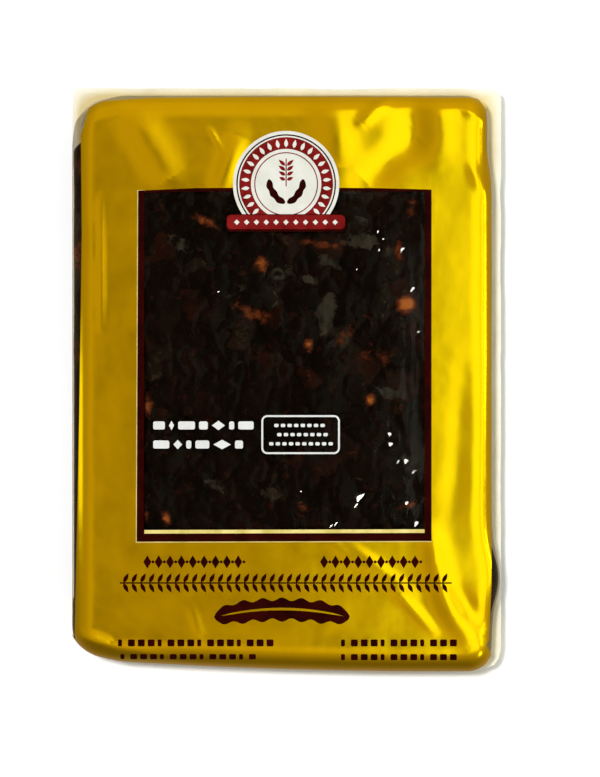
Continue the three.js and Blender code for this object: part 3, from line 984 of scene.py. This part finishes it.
centres = skin_points[triangles].mean(axis=1)
ink_of = np.full(len(triangles), CLEAR)
for ink, outline in outlines:
    ink_of[inside(centres, outline)] = ink
printed = ink_of != CLEAR
used, faces = np.unique(triangles[printed], return_inverse=True)
print_points = rolled(skin_points[used], PRINT_OUT)
printed_layer = mesh_object("printed_layer", print_points, faces.reshape(-1, 3))


def skin_normals(skin, step=0.1):
    """Which way the printed skin faces, from points a short step to either side."""
    across = rolled(skin + (step, 0), PRINT_OUT) - rolled(skin - (step, 0), PRINT_OUT)
    along = rolled(skin + (0, step), PRINT_OUT) - rolled(skin - (0, step), PRINT_OUT)
    normals = np.cross(across, along)
    return normals / np.linalg.norm(normals, axis=1)[:, None]


printed_layer.data.normals_split_custom_set_from_vertices(skin_normals(skin_points[used]))


def gold_ink():
    """Metallic gold ink under gloss film: a satin sheen with a fine crinkle and dull scuffs."""
    made, tree, surface = material("gold_ink")
    here = object_place(tree)
    cloud = ramp(
        tree,
        noise_at(tree, here, 30.0, 3.0),
        [(0.3, (0.90, 0.665, 0.002)), (0.7, (0.95, 0.72, 0.003))],
    )
    tree.links.new(cloud, surface.inputs["Base Color"])
    surface.inputs["Metallic"].default_value = 1.0
    dull = ramp(tree, noise_at(tree, here, 90.0, 5.0, 0.6), [(0.3, 0.21), (0.7, 0.265)])
    tree.links.new(dull, surface.inputs["Roughness"])
    crinkle = placed(tree, film_crinkle, Fine=0.03, Waves=0.1)
    tree.links.new(crinkle.outputs["Normal"], surface.inputs["Normal"])
    return made


def laid_ink_group():
    """Ink that lies a little uneven: its colour, and its roughness where it is worn."""
    group = bpy.data.node_groups.new("laid_ink", "ShaderNodeTree")
    for name, kind in (("Dark", "Color"), ("Light", "Color"), ("Smoothest", "Float")):
        group.interface.new_socket(name, in_out="INPUT", socket_type="NodeSocket" + kind)
    for name, kind in (("Color", "Color"), ("Roughness", "Float")):
        group.interface.new_socket(name, in_out="OUTPUT", socket_type="NodeSocket" + kind)
    given, made = node(group, "NodeGroupInput"), node(group, "NodeGroupOutput")
    here = object_place(group)
    share = ramp(group, noise_at(group, here, 240.0, 4.0), [(0.35, 0.0), (0.65, 1.0)])
    laid = mix(group, share, given.outputs["Dark"], given.outputs["Light"])
    group.links.new(laid, made.inputs["Color"])
    worn = ramp(group, noise_at(group, here, 120.0, 4.0), [(0.3, 0.0), (0.7, 1.0)])
    more = node(group, "ShaderNodeMath", operation="MULTIPLY_ADD", in_1=0.12)
    group.links.new(worn, more.inputs[0])
    group.links.new(given.outputs["Smoothest"], more.inputs[2])
    group.links.new(more.outputs[0], made.inputs["Roughness"])
    return group


laid_ink = laid_ink_group()


def flat_ink(name, dark, light, roughness):
    """A solid ink under gloss film, a little uneven where it was laid on."""
    made, tree, surface = material(name)
    ink = placed(tree, laid_ink, Dark=dark, Light=light, Smoothest=roughness)
    tree.links.new(ink.outputs["Color"], surface.inputs["Base Color"])
    tree.links.new(ink.outputs["Roughness"], surface.inputs["Roughness"])
    surface.inputs["Specular IOR Level"].default_value = 0.02
    crinkle = placed(tree, film_crinkle, Fine=0.1, Waves=0.0)
    tree.links.new(crinkle.outputs["Normal"], surface.inputs["Normal"])
    return made


for look in (
    gold_ink(),
    flat_ink("maroon_ink", (0.011, 0.0006, 0.0003), (0.024, 0.0012, 0.0006), 0.4),
    flat_ink("cream_ink", (0.56, 0.55, 0.49), (0.62, 0.61, 0.56), 0.45),
    flat_ink("red_ink", (0.11, 0.004, 0.004), (0.19, 0.009, 0.009), 0.4),
    flat_ink("white_ink", (0.56, 0.56, 0.55), (0.62, 0.62, 0.61), 0.45),
    flat_ink("pale_gold_ink", (0.5, 0.4, 0.1), (0.7, 0.58, 0.22), 0.35),
    flat_ink("thin_gold_ink", (0.42, 0.32, 0.1), (0.58, 0.46, 0.18), 0.4),
):
    printed_layer.data.materials.append(look)
printed_layer.data.polygons.foreach_set("material_index", (ink_of[printed] - 1).astype(np.int32))
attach(printed_layer, "root")
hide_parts("gold_print")


# Floor, lights and camera
# A white table top, a sharp sun from nearly straight above and a soft one from the right, lamps
# that the gold and the film mirror, and a dim warm room that is dark where the camera stands.

FLOOR_HALF = 4.0
FLOOR_BELOW = 0.0002

floor_mesh = bpy.data.meshes.new("floor")
floor_corners = [(a * FLOOR_HALF, b * FLOOR_HALF, 0) for a, b in box(-1, -1, 1, 1)]
floor_mesh.from_pydata(floor_corners, [], [(0, 1, 2, 3)])
floor = bpy.data.objects.new("floor", floor_mesh)
bpy.context.scene.collection.objects.link(floor)
floor.location.z = -FLOOR_BELOW
floor_look, tree, surface = material("white_table")
surface.inputs["Base Color"].default_value = (0.92, 0.92, 0.92, 1)
surface.inputs["Roughness"].default_value = 0.9
surface.inputs["Specular IOR Level"].default_value = 0.0
floor.data.materials.append(floor_look)
floor.visible_glossy = False


def sun(name, energy, angle, way):
    """A sun that stands in the way given. Nothing glossy mirrors it."""
    light = bpy.data.lights.new(name, "SUN")
    light.energy, light.angle = energy, angle
    made = bpy.data.objects.new(name, light)
    made.rotation_euler = Vector(way).to_track_quat("Z", "Y").to_euler()
    made.visible_glossy = False
    bpy.context.scene.collection.objects.link(made)


def lamp(name, wide, tall, radiance, at, towards=(0, 0, 0), colour=(1.0, 0.98, 0.92)):
    """A rectangular lamp, given by the radiance that a mirror would show."""
    light = bpy.data.lights.new(name, "AREA")
    light.shape = "RECTANGLE"
    light.size, light.size_y = wide, tall
    light.energy = radiance * np.pi * wide * tall
    light.color = colour
    made = bpy.data.objects.new(name, light)
    made.location = at
    made.rotation_euler = (Vector(at) - Vector(towards)).to_track_quat("Z", "Y").to_euler()
    made.visible_camera = False
    bpy.context.scene.collection.objects.link(made)


sun("key", energy=2.8, angle=0.12, way=(-0.17, 0.12, 1.0))
sun("fill", energy=0.35, angle=0.8, way=(0.55, -0.45, 1.0))
# The gold mirrors these three: over its flat right part, at its right edge, and between them
lamp("beside", 0.30, 0.50, 0.8, (0.20, 0.02, 0.35), (0.20, 0.02, 0), (0.9, 1.0, 0.8))
lamp("edge", 0.05, 0.13, 5.0, (0.56, 0.02, 0.13))
lamp("shoulder", 0.26, 0.16, 1.1, (0.47, 0.01, 0.30), colour=(0.92, 1.0, 0.8))
# The wrinkles over the window mirror this one, and the last lights the pulp's left side
lamp("glint", 0.06, 0.06, 14.0, GLINT_LAMP * 0.001)
lamp("low_left", 0.05, 0.05, 0.9, (-0.14, -0.015, 0.05), (-0.055, -0.015, 0.015))


def graded(tree, source, start, end, first, last):
    """Goes evenly from first to last while the source goes from start to end."""
    made = node(tree, "ShaderNodeMapRange", in_1=start, in_2=end, in_3=first, in_4=last)
    tree.links.new(source, made.inputs[0])
    return made.outputs[0]


# The room that glossy surfaces mirror, by height. It is brighter at the right and past the
# head, and darker past the foot. Everything else gets an even, neutral light from it.
world = bpy.data.worlds.new("room")
world.use_nodes = True
bpy.context.scene.world = world
tree = world.node_tree
way = node(tree, "ShaderNodeTexCoord")
parts = node(tree, "ShaderNodeSeparateXYZ")
tree.links.new(way.outputs["Generated"], parts.inputs[0])
room_x, room_y, room_z = parts.outputs
mirrored = ramp(
    tree,
    room_z,
    [
        (0.0, (0.31, 0.22, 0.125)),
        (0.88, (0.46, 0.32, 0.17)),
        (0.992, (0.56, 0.39, 0.2)),
        (0.997, (0.03, 0.02, 0.012)),
    ],
)
for share in (
    graded(tree, room_x, -0.5, 0.5, 0.92, 1.3),
    graded(tree, room_y, -1.0, -0.3, 0.45, 1.0),
    graded(tree, room_y, 0.2, 1.0, 1.0, 1.5),
):
    mirrored = mix(tree, 1.0, mirrored, share, "MULTIPLY")
ray = node(tree, "ShaderNodeLightPath")
room = mix(tree, ray.outputs["Is Diffuse Ray"], mirrored, (0.25, 0.25, 0.25))
tree.links.new(room, tree.nodes["Background"].inputs[0])

bpy.context.scene.view_settings.view_transform = "Standard"

# The camera looks straight down, from far off, at the middle of the pack's depth
LENS, SENSOR = 400.0, 36.0
VIEW_HEIGHT = 0.2129
CAMERA_X, CAMERA_Y = 0.00363, -0.00233
camera_data = bpy.data.cameras.new("camera")
camera_data.lens = LENS
camera_data.sensor_width = SENSOR
camera_data.clip_end = 50.0
camera = bpy.data.objects.new("camera", camera_data)
camera.location = (CAMERA_X, CAMERA_Y, HALF[2] * 0.001 + VIEW_HEIGHT * LENS / SENSOR)
bpy.context.scene.collection.objects.link(camera)
bpy.context.scene.camera = camera
